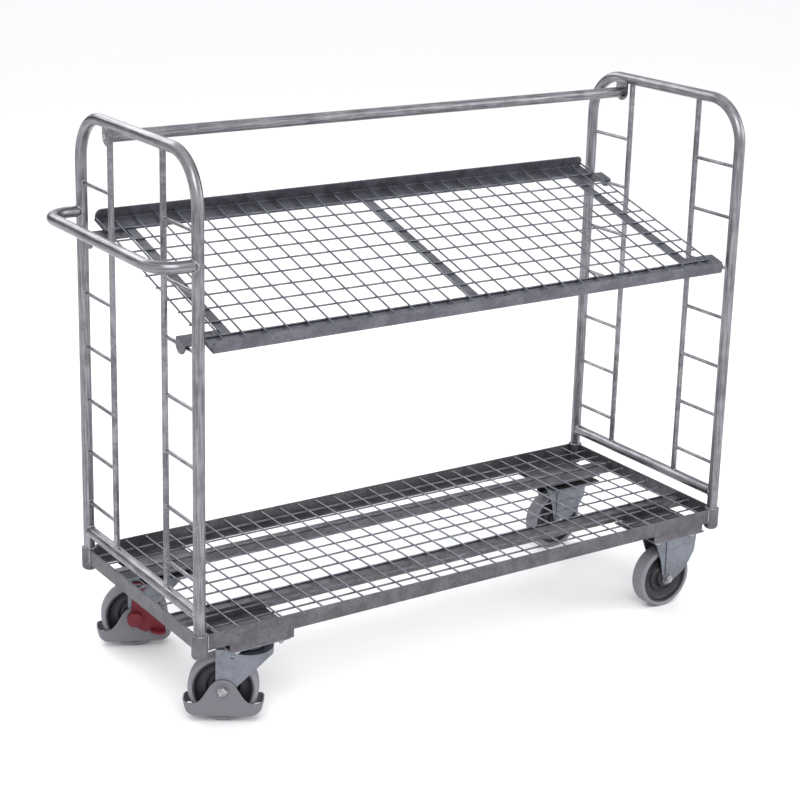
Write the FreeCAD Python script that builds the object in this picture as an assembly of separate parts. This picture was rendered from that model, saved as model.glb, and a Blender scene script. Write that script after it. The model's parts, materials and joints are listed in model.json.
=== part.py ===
import FreeCAD, Part
import math
import os

Vec = FreeCAD.Vector
X, Y, Z = Vec(1, 0, 0), Vec(0, 1, 0), Vec(0, 0, 1)

# A two-level wire shelf trolley: a welded base frame on four casters carries two
# plug-in hoop frames, a push handle, a tie bar and a sloping lift-off shelf.
# All lengths are in millimetres and all angles in degrees.

# ---- overall sizes ----
frame_length = 1385.0       # left upright axis to right upright axis
frame_width = 525.0         # front upright axis to rear upright axis
hoop_above_deck = 979.0     # deck edge to the axis of the hoops' top tube

# ---- frame tubes and bars ----
tube_d = 25.0               # hoops, lower tubes, handle and tie bar
tube_wall = 2.0
hoop_bend_r = 100.0
post_d = 13.0               # the two thin posts inside each hoop
post_inset = 144.0          # upright axis to thin post axis
rung_d = 8.0
rung_count = 7
rung_pitch = 120.0
first_rung_above_deck = 111.5
lower_tube_above_deck = 41.5

# ---- corner sockets ----
socket_play = 0.3           # between an upright and its socket's bore
socket_wall = 4.2
socket_above_deck = 1.0
socket_below_rail = 16.5
cap_h = 10.0
cap_round = 9.0
cap_spigot_h = 6.0

# ---- base rails, deck mesh and channels ----
rail_h = 35.0
rail_leg = 35.0             # inward bottom leg of the two long rails
rail_t = 3.0
end_rail_t = 4.0
rail_face_out = 7.0         # rail outer face, measured out from the upright axes
wire_d = 4.0
mesh_pitch = 50.0
mesh_below_deck = 3.7       # deck edge down to the top of the upper wires
weld_sink = 0.1             # crossing wires sink into each other where welded
channel_w = 30.0
channel_t = 3.0
channel_inset = 127.0       # upright axis to channel axis
wire_past_channel = 10.5    # channel axis in to the wire that lies along it

# ---- push handle and tie bar ----
handle_above_deck = 768.5
handle_reach = 86.0
handle_bend_r = 55.0
tie_bar_below_hoop = 33.5
tie_bar_inset = 114.0       # rear upright axis to tie bar axis
bracket_t = 4.0
bracket_w = 40.0
bracket_inset = 6.0         # upright axis to a bracket's outer face
tie_bolt_d = 8.0
tie_bolt_hole = 9.0
tie_plug_t = 8.0

# ---- lift-off shelf ----
shelf_end_gap = 30.0        # upright axis to the shelf rails' ends
shelf_rung_front = 4        # index of the rung that the front hooks rest on
shelf_rung_step = 1         # the rear hooks rest this many rungs higher
hook_inset = 54.48          # upright axis to a hook's middle, seen from above
hook_set = 61.5             # shelf rail's outer face to a hook's middle, along the slope
shelf_shift_y = 2.5         # shelf middle, measured back from the frame's middle
shelf_upstand = 28.0
shelf_leg = 55.0
shelf_corner_r = 14.0       # the upstands' top corners
shelf_t = 3.0
shelf_strap_w = 22.0
shelf_strap_inset = 60.0    # shelf rail's end to the outer straps' middle
hook_w = 40.0
hook_t = 4.0
hook_over = 6.0             # rung axis to the hook tab's inner face
hook_root = 60.0            # how far a hook plate runs in under its rail
hook_drop = 24.0
hook_gap = 0.3              # between a hook and the rung under it

# ---- caster mounts ----
wheel_r = 75.0
caster_inset_y = 51.0       # upright axis to a caster's plate centre
swivel_inset_x = 143.5      # left upright axis to the kingpins
fixed_inset_x = 105.5       # right upright axis to the fixed axles
crown_above_tyre = 18.0     # top of the tyre to the top of a swivel fork's crown
plate_above_crown = 22.0    # that crown to the top face of the caster's plate
plate_l = 137.0
plate_w = 104.0
plate_t = 4.0
plate_holes_x = 105.0
plate_holes_y = 80.0
plate_hole_d = 9.0
pad_l = 150.0
pad_h = 19.5
pad_t = 3.0
pad_front_set = 3.0         # rail face back to the pad's front face
mount_bolt_d = 8.0
mount_head_af = 13.0
mount_head_h = 5.3
mount_nut_h = 6.5
mount_bolt_tail = 4.0       # bolt end past its nut

# ---- wheels ----
tyre_w = 40.0
tyre_t = 11.0
tyre_edge_r = 6.0
web_t = 10.0
rim_t = 6.0
hub_r = 22.0
hub_half = 22.0
bearing_r = 12.0
bearing_l = 14.0
bearing_proud = 1.6
ring_r = 38.0               # stiffening ring on the web
ring_w = 3.0
ring_half = 12.0

# ---- forks and axles ----
fork_inner = 24.0           # wheel mid-plane to a cheek's inner face
fork_t = 3.0
axle_d = 10.0
axle_play = 0.05
axle_head_af = 17.0
axle_head_h = 7.0
washer_t = 2.0
washer_r = 11.0
trail = 54.0
swivel_turn_front = -32.7   # how the front swivel caster stands at rest
swivel_turn_rear = -24.5
crown_t = 4.0
crown_r = 51.0
skirt_h = 14.0
fork_boss_r = 15.0
fixed_tongue = 84.0         # fixed axle forwards to the end of its fork's plate
rib_t = 2.0                 # the rib pressed out of each fixed cheek
rib_foot = 13.0             # fixed axle up to the rib's lower end
kingpin_d = 12.0
kingpin_play = 0.08
kingpin_head_r = 11.0
kingpin_head_h = 7.0
ball_d = 8.0
ball_count = 14
ball_ring_r = 24.0
ball_seat = 0.7             # how deep the balls sit in the crown's groove
cup_gap = 0.25              # between the balls and the top plate's cup
cup_t = 3.0
shield_gap = 2.0            # from the cup's skirt to the crown

# ---- foot guards and brakes ----
guard_end_gap = 8.0         # tyre to the guard's toe
guard_t = 3.0
guard_low = 17.0
guard_toe_down = 23.0       # axle down to the toes' tops
guard_dip_down = 29.0
guard_dip_in = 18.0         # toe's end in to the middle of the dip
guard_hump_up = 25.0        # axle up to the hump's top
guard_hump_half = 17.0
guard_hump_foot = 45.0
guard_corner_r = 20.0
pedal_t = 3.5
pedal_gap = 0.4
pedal_hub_r = 17.0
pedal_cap_t = 2.5           # end wall of the hub's cap over the axle's head
pedal_cap_gap = 0.6         # between that head and the cap
pedal_stand_out = 16.0      # the pedal's tread, out from its plate
pedal_swing = 16.0          # how far the pedal turns to lock the wheel
shoe_gap = 2.0              # shoe to tyre with the brake off
shoe_t = 7.0
shoe_w = 34.0
shoe_half_angle = 15.0
shoe_at = 75.0              # where the shoe sits on the tyre, measured up from straight ahead
shoe_pin_d = 7.0
shoe_pin_play = 0.5
cam_wall = 4.0              # metal left round the pedal's cam slot
shoe_travel = 1.7

# ---- worked out from the above ----
tube_r = tube_d / 2
socket_d = tube_d + 2 * (socket_play + socket_wall)
crown_z = 2 * wheel_r + crown_above_tyre
caster_h = crown_z + plate_above_crown
rail_low_z = caster_h + pad_h
deck_top_z = rail_low_z + rail_h
hoop_axis_z = deck_top_z + hoop_above_deck
lower_tube_z = deck_top_z + lower_tube_above_deck
first_rung_z = deck_top_z + first_rung_above_deck
handle_z = deck_top_z + handle_above_deck
tie_bar_z = hoop_axis_z - tie_bar_below_hoop
upper_wire_z = deck_top_z - mesh_below_deck - wire_d / 2
lower_wire_z = upper_wire_z - wire_d + weld_sink
channel_top_z = lower_wire_z - wire_d / 2
socket_top_z = deck_top_z + socket_above_deck
socket_low_z = rail_low_z - socket_below_rail
cap_top_z = socket_low_z + cap_h
upright_foot_z = cap_top_z + cap_spigot_h
rail_inner_x = rail_face_out - end_rail_t
bracket_inner_x = bracket_inset + bracket_t
tie_bar_y = frame_width - tie_bar_inset
hole_half_x, hole_half_y = plate_holes_x / 2, plate_holes_y / 2
plate_low_z = caster_h - plate_t
pad_low_z, pad_top_z = caster_h, rail_low_z
pad_front = rail_face_out - pad_front_set
pad_back = channel_inset + channel_w / 2
fork_outer = fork_inner + fork_t
guard_outer = fork_outer + guard_t
guard_half_l = wheel_r + guard_end_gap + guard_t
guard_hump_z = wheel_r + guard_hump_up
guard_dip_z, guard_toe_z = wheel_r - guard_dip_down, wheel_r - guard_toe_down
crown_low_z = crown_z - crown_t
ball_centre_z = crown_z - ball_seat + ball_d / 2
shoe_pin_r = wheel_r + shoe_gap + shoe_t / 2    # axle to the brake shoe's pin
axle_r = axle_d / 2
rung_z = [first_rung_z + i * rung_pitch for i in range(rung_count)]
shelf_rise = shelf_rung_step * rung_pitch
shelf_hook_span = math.hypot(frame_width - 2 * hook_inset, shelf_rise)
shelf_depth = shelf_hook_span + 2 * hook_set
shelf_slope = math.degrees(math.asin(shelf_rise / shelf_hook_span))
leg_low = hook_t            # shelf heights, square to its slope, from the hooks' underside
leg_top = leg_low + shelf_t
shelf_lower_wire = leg_top + wire_d / 2
shelf_upper_wire = shelf_lower_wire + wire_d - weld_sink

corners = [(x, y) for x in (0, frame_length) for y in (0, frame_width)]
end_x = {"left": 0.0, "right": frame_length}
swivel_y = {"front": caster_inset_y, "rear": frame_width - caster_inset_y}
swivel_turn = {"front": swivel_turn_front, "rear": swivel_turn_rear}
fixed_x = frame_length - fixed_inset_x
# the pedals face each other across the trolley
pedal_side = {"front": 1, "rear": -1}


# ---- helpers ----
def box(x0, x1, y0, y1, z0, z1):
    """A block between two corners."""
    return Part.makeBox(x1 - x0, y1 - y0, z1 - z0, Vec(x0, y0, z0))


def rod(radius, start, end):
    """A round bar from one point to another."""
    way = end - start
    return Part.makeCylinder(radius, way.Length, start, way)


def ring(outer, inner, start, end):
    """A round sleeve from one point to another."""
    return rod(outer, start, end).cut(rod(inner, start, end))


def hexagon(across_flats, start, end):
    """A hexagonal bar from one point to another."""
    way = end - start
    bar = Part.Face(Part.makePolygon([
        Vec(math.cos(math.radians(60 * i)), math.sin(math.radians(60 * i)), 0)
        * (across_flats / math.sqrt(3)) for i in range(7)])).extrude(Z * way.Length)
    bar.Placement = FreeCAD.Placement(start, FreeCAD.Rotation(Z, way))
    return bar


def plate_xz(points, y0, y1):
    """A flat plate cut to an outline in X and Z, from y0 to y1."""
    outline = [Vec(x, y0, z) for x, z in points]
    return Part.Face(Part.makePolygon(outline + outline[:1])).extrude(Y * (y1 - y0))


def bent_tube(points, bend_r, radius):
    """A round bar along straight runs, with an arc of bend_r at each inner point."""
    edges, start = [], points[0]
    for before, here, after in zip(points, points[1:], points[2:]):
        back = (before - here).normalize()
        on = (after - here).normalize()
        half = back.getAngle(on) / 2
        reach = bend_r / math.tan(half)
        middle = (back + on).normalize() * (bend_r / math.sin(half) - bend_r)
        edges.append(Part.makeLine(start, here + back * reach))
        edges.append(Part.Arc(here + back * reach, here + middle, here + on * reach).toShape())
        start = here + on * reach
    edges.append(Part.makeLine(start, points[-1]))
    disc = Part.Wire(Part.makeCircle(radius, points[0], points[1] - points[0]))
    return Part.Wire(edges).makePipeShell([disc], True, False)


def group(shapes):
    """Separate solids kept together in one node."""
    return Part.makeCompound([solid for shape in shapes for solid in shape.Solids])


def moved(shape, offset, turn=0.0, about=Z):
    """A copy of a shape, turned about an axis through the origin and then shifted."""
    copy = shape.copy()
    copy.Placement = FreeCAD.Placement(offset, FreeCAD.Rotation(about, turn)).multiply(copy.Placement)
    return copy


# ---- base frame ----
def socket_blanks():
    """The sockets' full outer cylinders, used to fit the rails round them."""
    return group([rod(socket_d / 2, Vec(x, y, socket_low_z), Vec(x, y, socket_top_z))
                  for x, y in corners])


def long_rail(side):
    """An angle bar: an outer upright leg, and a bottom leg that points inwards."""
    upright = box(-rail_inner_x, frame_length + rail_inner_x, -rail_face_out,
                  -rail_face_out + rail_t, rail_low_z, deck_top_z)
    bottom = box(-rail_inner_x, frame_length + rail_inner_x, -rail_face_out,
                 -rail_face_out + rail_leg, rail_low_z, rail_low_z + rail_t)
    rail = upright.fuse(bottom).removeSplitter()
    if side == "rear":
        rail = rail.mirror(Vec(0, frame_width / 2, 0), Y)
    return rail.cut(socket_blanks())


def end_rail(side):
    """A flat bar across an end, between two sockets."""
    bar = box(-rail_face_out, -rail_inner_x, 0, frame_width, rail_low_z, deck_top_z)
    if side == "right":
        bar = bar.mirror(Vec(frame_length / 2, 0, 0), X)
    return bar.cut(socket_blanks())


def corner_sockets():
    bore_r = tube_r + socket_play
    return group([ring(socket_d / 2, bore_r, Vec(x, y, cap_top_z), Vec(x, y, socket_top_z))
                  for x, y in corners])


def socket_end_caps():
    """Domed plugs that close the sockets, each with a spigot up the bore."""
    spigot_r = tube_r + socket_play
    disc = rod(socket_d / 2, Vec(0, 0, socket_low_z), Vec(0, 0, cap_top_z))
    low_edge = [edge for edge in disc.Edges
                if edge.BoundBox.ZMax < socket_low_z + 0.01 and edge.Length > socket_d]
    dome = disc.makeFillet(cap_round, low_edge)
    spigot = rod(spigot_r, Vec(0, 0, cap_top_z), Vec(0, 0, upright_foot_z))
    plug = dome.fuse(spigot).removeSplitter()
    return group([moved(plug, Vec(x, y, 0)) for x, y in corners])


def spread(count, middle, pitch):
    """Evenly pitched places about a middle."""
    return [middle + (i - (count - 1) / 2) * pitch for i in range(count)]


def fit_count(length, even):
    """How many wires fit in a length at the mesh pitch, as an even or an odd number."""
    count = int(length / mesh_pitch)
    return count if (count % 2 == 0) == even else count - 1


def between(start, end):
    """Even places from start to end, both included, about a pitch apart."""
    gaps = round((end - start) / mesh_pitch)
    return [start + (end - start) * i / gaps for i in range(gaps + 1)]


def platform_long_wires():
    """Wires along the channels, evenly between them, and out to the rails."""
    over = channel_inset + wire_past_channel
    beside = [over - (i + 1) * mesh_pitch for i in range(int(over / mesh_pitch))]
    places = beside + between(over, frame_width - over) + [frame_width - y for y in beside]
    return group([rod(wire_d / 2, Vec(-rail_inner_x, y, lower_wire_z),
                      Vec(frame_length + rail_inner_x, y, lower_wire_z)) for y in places])


def platform_cross_wires():
    places = spread(fit_count(frame_length, False), frame_length / 2, mesh_pitch)
    edge = rail_face_out - rail_t
    return group([rod(wire_d / 2, Vec(x, -edge, upper_wire_z), Vec(x, frame_width + edge, upper_wire_z))
                  for x in places])


def support_channel(side):
    """A channel under the mesh, open downwards, from end rail to end rail."""
    y = channel_inset if side == "front" else frame_width - channel_inset
    half = channel_w / 2
    x0, x1 = -rail_inner_x, frame_length + rail_inner_x
    outside = box(x0, x1, y - half, y + half, rail_low_z, channel_top_z)
    inside = box(x0, x1, y - half + channel_t, y + half - channel_t,
                 rail_low_z, channel_top_z - channel_t)
    return outside.cut(inside)


def plate_hole_places():
    return [(x, y) for x in (-hole_half_x, hole_half_x) for y in (-hole_half_y, hole_half_y)]


def drilled(plate, z0, z1):
    """Cut the four mounting holes of a caster plate centred on the origin."""
    for x, y in plate_hole_places():
        plate = plate.cut(rod(plate_hole_d / 2, Vec(x, y, z0), Vec(x, y, z1)))
    return plate


def caster_places():
    """Each caster's plate centre, and whether it is on the front side."""
    kingpins = [(swivel_inset_x, swivel_y["front"], True), (swivel_inset_x, swivel_y["rear"], False)]
    fixed = [(fixed_x, swivel_y["front"], True), (fixed_x, swivel_y["rear"], False)]
    return kingpins + fixed


def caster_mount_pads():
    """Folded spacers between the frame and the caster plates, open to the inside."""
    y0, y1 = -pad_front - caster_inset_y, pad_back - caster_inset_y
    outside = box(-pad_l / 2, pad_l / 2, y0, y1, pad_low_z, pad_top_z)
    inside = box(-pad_l / 2, pad_l / 2, y0 + pad_t, y1, pad_low_z + pad_t, pad_top_z - pad_t)
    pad = drilled(outside.cut(inside), pad_low_z, pad_low_z + pad_t)
    return group([moved(pad if front else pad.mirror(Vec(), Y), Vec(x, y, 0))
                  for x, y, front in caster_places()])


# ---- end frames ----
def hoop_path(x):
    return [Vec(x, 0, upright_foot_z), Vec(x, 0, hoop_axis_z),
            Vec(x, frame_width, hoop_axis_z), Vec(x, frame_width, upright_foot_z)]


def hoop_solid(side, radius):
    return bent_tube(hoop_path(end_x[side]), hoop_bend_r, radius)


def hoop(side):
    return hoop_solid(side, tube_r).cut(hoop_solid(side, tube_r - tube_wall))


def lower_tube(side):
    x = end_x[side]
    start, end = Vec(x, 0, lower_tube_z), Vec(x, frame_width, lower_tube_z)
    return ring(tube_r, tube_r - tube_wall, start, end).cut(hoop_solid(side, tube_r))


def post_places():
    return [post_inset, frame_width - post_inset]


def inner_posts(side):
    x = end_x[side]
    posts = group([rod(post_d / 2, Vec(x, y, lower_tube_z), Vec(x, y, hoop_axis_z))
                   for y in post_places()])
    crossbar = rod(tube_r, Vec(x, 0, lower_tube_z), Vec(x, frame_width, lower_tube_z))
    return group([posts.cut(hoop_solid(side, tube_r)).cut(crossbar)])


def rungs(side):
    """Short bars between the uprights and the thin posts, ends fitted to both."""
    x = end_x[side]
    bays = [(0, post_inset), (frame_width - post_inset, frame_width)]
    bars = group([rod(rung_d / 2, Vec(x, y0, z), Vec(x, y1, z)) for z in rung_z for y0, y1 in bays])
    posts = group([rod(post_d / 2, Vec(x, y, lower_tube_z), Vec(x, y, hoop_axis_z))
                   for y in post_places()])
    return group([bars.cut(hoop_solid(side, tube_r)).cut(posts)])


def push_handle():
    path = [Vec(0, 0, handle_z), Vec(-handle_reach, 0, handle_z),
            Vec(-handle_reach, frame_width, handle_z), Vec(0, frame_width, handle_z)]
    tube = bent_tube(path, handle_bend_r, tube_r).cut(bent_tube(path, handle_bend_r, tube_r - tube_wall))
    return tube.cut(hoop_solid("left", tube_r))


# ---- tie bar ----
def tie_bar():
    """A tube whose ends are closed by tapped plugs."""
    x0, x1 = bracket_inner_x, frame_length - bracket_inner_x
    start, end = Vec(x0, tie_bar_y, tie_bar_z), Vec(x1, tie_bar_y, tie_bar_z)
    bore = rod(tube_r - tube_wall, start + X * tie_plug_t, end - X * tie_plug_t)
    tapped = rod(tie_bolt_d / 2, start, end)
    return rod(tube_r, start, end).cut(bore).cut(tapped)


def tie_bar_brackets():
    """Round-ended plates that hang under the hoops' top tubes."""
    half = bracket_w / 2
    made = []
    for side in ("left", "right"):
        outer = bracket_inset if side == "left" else frame_length - bracket_inner_x
        lug = rod(half, Vec(outer, tie_bar_y, tie_bar_z), Vec(outer + bracket_t, tie_bar_y, tie_bar_z))
        stem = box(outer, outer + bracket_t, tie_bar_y - half, tie_bar_y + half, tie_bar_z, hoop_axis_z)
        hole = rod(tie_bolt_hole / 2, Vec(outer, tie_bar_y, tie_bar_z),
                   Vec(outer + bracket_t, tie_bar_y, tie_bar_z))
        plate = lug.fuse(stem).removeSplitter().cut(hole)
        made.append(plate.cut(hoop_solid(side, tube_r)))
    return group(made)


def tie_bar_bolts():
    made = []
    for outer, way in ((bracket_inset, X), (frame_length - bracket_inset, -X)):
        face = Vec(outer, tie_bar_y, tie_bar_z)
        head = hexagon(mount_head_af, face - way * mount_head_h, face)
        shank = rod(tie_bolt_d / 2, face, face + way * (bracket_t + tie_plug_t))
        made.append(head.fuse(shank))
    return group(made)


# ---- shelf, made flat about its own middle and then laid on the rungs ----
def on_rungs(shape):
    """Tilt the shelf and set its hooks' front edges on the rungs."""
    contact = shelf_hook_span / 2 + hook_w / 2
    tilt = math.radians(shelf_slope)
    z = rung_z[shelf_rung_front] + rung_d / 2 + hook_gap + contact * math.sin(tilt)
    return moved(shape, Vec(0, frame_width / 2 + shelf_shift_y, z), shelf_slope, X)


def shelf_rail(side):
    """A folded angle with a low upstand and a wide leg under the mesh."""
    x0, x1 = shelf_end_gap, frame_length - shelf_end_gap
    edge = -shelf_depth / 2
    upstand = box(x0, x1, edge, edge + shelf_t, leg_low, leg_low + shelf_upstand)
    end_tops = [corner for corner in upstand.Edges
                if corner.BoundBox.YLength > shelf_t / 2 and corner.BoundBox.XLength < shelf_t
                and corner.BoundBox.ZMin > leg_low + shelf_upstand / 2]
    upstand = upstand.makeFillet(shelf_corner_r, end_tops)
    leg = box(x0, x1, edge, edge + shelf_leg, leg_low, leg_top)
    rail = upstand.fuse(leg).removeSplitter()
    if side == "rear":
        rail = rail.mirror(Vec(), Y)
    return on_rungs(rail)


def shelf_straps():
    """Flat bars from rail to rail under the mesh."""
    reach = shelf_depth / 2 - shelf_leg
    end = shelf_end_gap + shelf_strap_inset
    half = shelf_strap_w / 2
    middles = (end, frame_length / 2, frame_length - end)
    return on_rungs(group([box(x - half, x + half, -reach, reach, leg_low, leg_top) for x in middles]))


def shelf_long_wires():
    outermost = shelf_depth / 2 - shelf_leg + wire_d / 2
    places = between(-outermost, outermost)
    x0, x1 = shelf_end_gap, frame_length - shelf_end_gap
    return on_rungs(group([rod(wire_d / 2, Vec(x0, y, shelf_lower_wire), Vec(x1, y, shelf_lower_wire))
                           for y in places]))


def shelf_cross_wires():
    length = frame_length - 2 * shelf_end_gap
    places = spread(fit_count(length, True), frame_length / 2, mesh_pitch)
    places += [shelf_end_gap + wire_d / 2, frame_length - shelf_end_gap - wire_d / 2]
    reach = shelf_depth / 2 - shelf_t
    return on_rungs(group([rod(wire_d / 2, Vec(x, -reach, shelf_upper_wire), Vec(x, reach, shelf_upper_wire))
                           for x in places]))


def shelf_hooks():
    """Plates welded under the rails' ends that reach over a rung and turn down."""
    half = hook_w / 2
    inner = -hook_over
    outer = inner - hook_t
    arm = box(outer, shelf_end_gap + hook_root, -half, half, 0, hook_t)
    tab = box(outer, inner, -half, half, half - hook_drop, hook_t)
    nose = rod(half, Vec(outer, 0, half - hook_drop), Vec(inner, 0, half - hook_drop))
    hook = arm.fuse(tab).fuse(nose.common(box(outer, inner, -half, half, -shelf_depth, 0)))
    hook = hook.removeSplitter()
    made = []
    for y in (-shelf_hook_span / 2, shelf_hook_span / 2):
        made.append(moved(hook, Vec(0, y, 0)))
        made.append(moved(hook.mirror(Vec(frame_length / 2, 0, 0), X), Vec(0, y, 0)))
    return on_rungs(group(made))


# ---- casters: what is bolted to the frame ----
def caster_bolts():
    """Bolts with their heads inside the pads."""
    made = []
    for cx, cy, _ in caster_places():
        for x, y in plate_hole_places():
            seat = Vec(cx + x, cy + y, pad_low_z + pad_t)
            head = hexagon(mount_head_af, seat, seat + Z * mount_head_h)
            length = pad_t + plate_t + mount_nut_h + mount_bolt_tail
            made.append(head.fuse(rod(mount_bolt_d / 2, seat - Z * length, seat)))
    return group(made)


def caster_nuts():
    made = []
    for cx, cy, _ in caster_places():
        for x, y in plate_hole_places():
            seat = Vec(cx + x, cy + y, plate_low_z)
            nut = hexagon(mount_head_af, seat - Z * mount_nut_h, seat)
            made.append(nut.cut(rod(mount_bolt_d / 2, seat - Z * mount_nut_h, seat)))
    return group(made)


def swivel_top_plates():
    """Mounting plates, each with a pressed cup over its ball race."""
    plate = drilled(box(-plate_l / 2, plate_l / 2, -plate_w / 2, plate_w / 2, plate_low_z, caster_h),
                    plate_low_z, caster_h)
    ball_top = ball_centre_z + ball_d / 2
    cup_r = ball_ring_r + ball_d / 2 + cup_gap + cup_t
    cup = rod(cup_r, Vec(0, 0, crown_z + shield_gap), Vec(0, 0, plate_low_z))
    hollow = rod(cup_r - cup_t, Vec(0, 0, crown_z), Vec(0, 0, ball_top + cup_gap))
    bore = rod(kingpin_d / 2, Vec(0, 0, crown_z), Vec(0, 0, caster_h))
    plate = plate.fuse(cup.cut(hollow)).removeSplitter().cut(bore)
    return group([moved(plate, Vec(swivel_inset_x, y, 0)) for y in swivel_y.values()])


def kingpins():
    """Rivets that hold the forks up to their plates, heads under the crowns."""
    head_top = crown_low_z - cup_gap
    pin = rod(kingpin_d / 2, Vec(0, 0, head_top), Vec(0, 0, caster_h))
    head = rod(kingpin_head_r, Vec(0, 0, head_top - kingpin_head_h), Vec(0, 0, head_top))
    pin = pin.fuse(head).removeSplitter()
    return group([moved(pin, Vec(swivel_inset_x, y, 0)) for y in swivel_y.values()])


# ---- casters made about their own axes: x forwards, the axle over x = 0 ----
def axle_hole(half):
    return rod(axle_r, Vec(0, -half, wheel_r), Vec(0, half, wheel_r))


def cheek_foot(y0, y1):
    return rod(fork_boss_r, Vec(0, y0, wheel_r), Vec(0, y1, wheel_r))


def fixed_fork():
    """One pressing: a mounting plate with two tapering cheeks, each with a rib."""
    fork = drilled(box(-plate_l / 2, fixed_tongue, -plate_w / 2, plate_w / 2, plate_low_z, caster_h),
                   plate_low_z, caster_h)
    low = wheel_r
    outline = [(-fork_boss_r, low), (-24, low + 48), (-48, plate_low_z), (fixed_tongue, plate_low_z),
               (fixed_tongue, low + 92), (80, low + 56), (65, low + 32), (46, low + 9),
               (fork_boss_r * 0.7, low - fork_boss_r * 0.72)]
    rib = [(-9, low + rib_foot), (-11, plate_low_z - 6), (24, plate_low_z - 6), (18, low + rib_foot)]
    for inner, outer in ((fork_inner, fork_outer), (-fork_outer, -fork_inner)):
        cheek = plate_xz(outline, inner, outer).fuse(cheek_foot(inner, outer))
        fork = fork.fuse(cheek)
    for y in (fork_outer, -fork_outer - rib_t):
        fork = fork.fuse(plate_xz(rib, y, y + rib_t))
    return fork.removeSplitter().cut(axle_hole(fork_outer + rib_t))


def fixed_forks():
    fork = fixed_fork()
    return group([moved(fork, Vec(fixed_x, y, 0)) for y in swivel_y.values()])


def axle_bolt(reach_head, reach_nut):
    """A hexagon bolt across a wheel, its head on the low-Y side."""
    head_face, nut_face = Vec(0, -reach_head, wheel_r), Vec(0, reach_nut, wheel_r)
    head = hexagon(axle_head_af, head_face - Y * axle_head_h, head_face)
    shank = rod(axle_r, head_face, nut_face + Y * (axle_head_h + 2))
    return head.fuse(shank)


def axle_nut(reach_nut):
    """A locking nut on a washer-faced flange."""
    face = Vec(0, reach_nut, wheel_r)
    nut = hexagon(axle_head_af, face + Y * washer_t, face + Y * (washer_t + axle_head_h - 1))
    flange = rod(washer_r, face, face + Y * washer_t)
    return nut.fuse(flange).cut(rod(axle_r, face, face + Y * (washer_t + axle_head_h)))


def fixed_axles():
    bolt = axle_bolt(fork_outer, fork_outer)
    return group([moved(bolt, Vec(fixed_x, swivel_y["front"], 0), 180),
                  moved(bolt, Vec(fixed_x, swivel_y["rear"], 0))])


def fixed_axle_nuts():
    nut = axle_nut(fork_outer)
    return group([moved(nut, Vec(fixed_x, swivel_y["front"], 0), 180),
                  moved(nut, Vec(fixed_x, swivel_y["rear"], 0))])


def swivelled(shape, side):
    """Put a piece of a swivel caster where it stands under its kingpin."""
    behind = moved(shape, Vec(-trail, 0, 0))
    return moved(behind, Vec(swivel_inset_x, swivel_y[side], 0), swivel_turn[side])


def fork_cheek(y0, y1):
    """A swivel fork's cheek: upright at the back, raked forwards at the front."""
    front_reach = trail + math.sqrt(crown_r ** 2 - fork_outer ** 2)
    outline = [(-fork_boss_r, wheel_r), (-fork_boss_r, crown_z), (front_reach, crown_z),
               (front_reach, crown_z - skirt_h), (trail + 18, wheel_r + 52),
               (fork_boss_r * 0.75, wheel_r - fork_boss_r * 0.66)]
    return plate_xz(outline, y0, y1).fuse(cheek_foot(y0, y1))


def slot_along(start, middle, end, half_width, y0, y1):
    """A round-ended slot along an arc in the X-Z plane, cut from y0 to y1."""
    here = Y * y0
    path = Part.Wire(Part.Arc(start + here, middle + here, end + here).toShape())
    return Part.Face(path.makeOffset2D(half_width, 0, False, False)).extrude(Y * (y1 - y0))


def shoe_pin_slot(half):
    """The room that the brake shoe's pin needs to slide in, across the fork."""
    hole_r = shoe_pin_d / 2 + shoe_pin_play
    start, end = polar(shoe_pin_r, shoe_at), polar(shoe_pin_r - shoe_travel, shoe_at)
    slot = rod(hole_r, start - Y * half, start + Y * half)
    return slot.fuse(rod(hole_r, end - Y * half, end + Y * half))


def swivel_fork(side):
    """A round crown, a skirt round its front, and two cheeks down to the axle."""
    centre = Vec(trail, 0, 0)
    disc = rod(crown_r, centre + Z * crown_low_z, centre + Z * crown_z)
    neck = box(-fork_boss_r, trail, -fork_outer, fork_outer, crown_low_z, crown_z)
    wide = trail + math.sqrt(crown_r ** 2 - fork_outer ** 2)
    wall = ring(crown_r, crown_r - fork_t, centre + Z * (crown_z - skirt_h), centre + Z * crown_z)
    wall = wall.common(box(wide - fork_t, trail + crown_r, -crown_r, crown_r, 0, crown_z))
    fork = disc.fuse([neck, wall, fork_cheek(fork_inner, fork_outer), fork_cheek(-fork_outer, -fork_inner)])
    fork = fork.removeSplitter()
    groove = Part.makeTorus(ball_ring_r, ball_d / 2, centre + Z * ball_centre_z, Z)
    pin_hole = rod(kingpin_d / 2 + kingpin_play, centre + Z * crown_low_z, centre + Z * crown_z)
    fork = fork.cut(groove).cut(pin_hole).cut(axle_hole(fork_outer)).cut(shoe_pin_slot(fork_outer))
    return swivelled(fork, side)


def swivel_balls(side):
    centre = Vec(trail, 0, ball_centre_z)
    made = []
    for i in range(ball_count):
        angle = 2 * math.pi * i / ball_count
        place = centre + Vec(math.cos(angle), math.sin(angle), 0) * ball_ring_r
        made.append(Part.makeSphere(ball_d / 2, place))
    return swivelled(group(made), side)


def guard_outline(z_top):
    """The guard's side view as a closed outline below its curving top edge."""
    toe, dip = guard_half_l, guard_half_l - guard_dip_in
    half = [(guard_hump_half, guard_hump_z), (guard_hump_half + 12, guard_hump_z - 16),
            (guard_hump_foot, guard_dip_z + 6), (guard_hump_foot + 8, guard_dip_z),
            (dip + 4, guard_dip_z), (toe - 7, guard_toe_z), (toe, guard_toe_z)]
    above = [(-x, z) for x, z in reversed(half)] + half
    left, right = [(-toe - 1, z_top), (-toe - 1, guard_toe_z)], [(toe + 1, guard_toe_z), (toe + 1, z_top)]
    return left + above + right


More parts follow.
